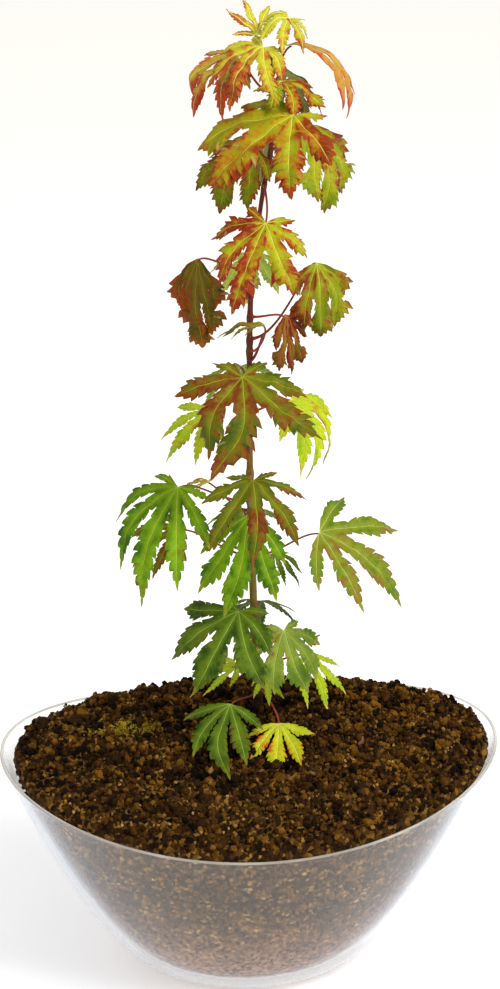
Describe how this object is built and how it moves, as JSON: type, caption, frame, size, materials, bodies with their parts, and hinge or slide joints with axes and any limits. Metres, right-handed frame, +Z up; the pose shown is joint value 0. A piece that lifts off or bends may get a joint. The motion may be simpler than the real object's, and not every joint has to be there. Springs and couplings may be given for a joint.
{
  "type": "potted japanese maple seedling",
  "caption": "Young japanese maple: one slender upright stem with palmate leaves in pairs all the way up, in dark compost in a clear boat-shaped bowl that stands on its flat underside.",
  "frame": {"origin": "the middle of the bowl's flat underside, on the surface that it stands on", "axes": "+Z up along the stem, +X along the length of the bowl, -Y the front"},
  "size_m": [0.27, 0.182, 0.5286],
  "materials": {
    "bowl": "clear, polished",
    "compost": "rough crumbs",
    "bark": "satin bark",
    "leaf_green": "thin satin leaf",
    "leaf_dark": "thin satin leaf",
    "leaf_lime": "thin satin leaf",
    "leaf_bronze": "thin satin leaf",
    "leaf_red": "thin satin leaf",
    "leaf_gold": "thin satin leaf"
  },
  "bodies": {
    "root": {"bowl": "bowl", "soil": "compost", "trunk": "bark", "leaf_tip_left": "leaf_gold", "leaf_tip_right": "leaf_gold", "leaf_crown_front": "leaf_gold", "leaf_crown_right": "leaf_red", "leaf_crown_left": "leaf_red", "leaf_crown_under": "leaf_red", "leaf_crown_back": "leaf_bronze", "leaf_upper_front": "leaf_gold", "leaf_upper_right": "leaf_lime", "leaf_upper_left": "leaf_bronze", "leaf_upper_back": "leaf_bronze", "leaf_mid_star": "leaf_gold", "leaf_mid_left": "leaf_bronze", "leaf_mid_right": "leaf_lime", "leaf_mid_back": "leaf_lime", "leaf_mid_small": "leaf_red", "leaf_mid_hang": "leaf_red", "leaf_centre_star": "leaf_bronze", "leaf_centre_right": "leaf_lime", "leaf_centre_left": "leaf_lime", "leaf_centre_back": "leaf_green", "leaf_left_green": "leaf_green", "leaf_left_small": "leaf_gold", "leaf_left_back": "leaf_bronze", "leaf_front_bronze": "leaf_bronze", "leaf_front_green": "leaf_green", "leaf_right_green": "leaf_green", "leaf_right_back": "leaf_dark", "leaf_rear_green": "leaf_green", "leaf_low_left": "leaf_dark", "leaf_low_right": "leaf_dark", "leaf_low_back": "leaf_dark", "leaf_low_lime_left": "leaf_lime", "leaf_low_lime_right": "leaf_lime", "leaf_low_bud": "leaf_lime", "leaf_soil_left": "leaf_dark", "leaf_soil_front": "leaf_lime"}
  },
  "joints": []
}
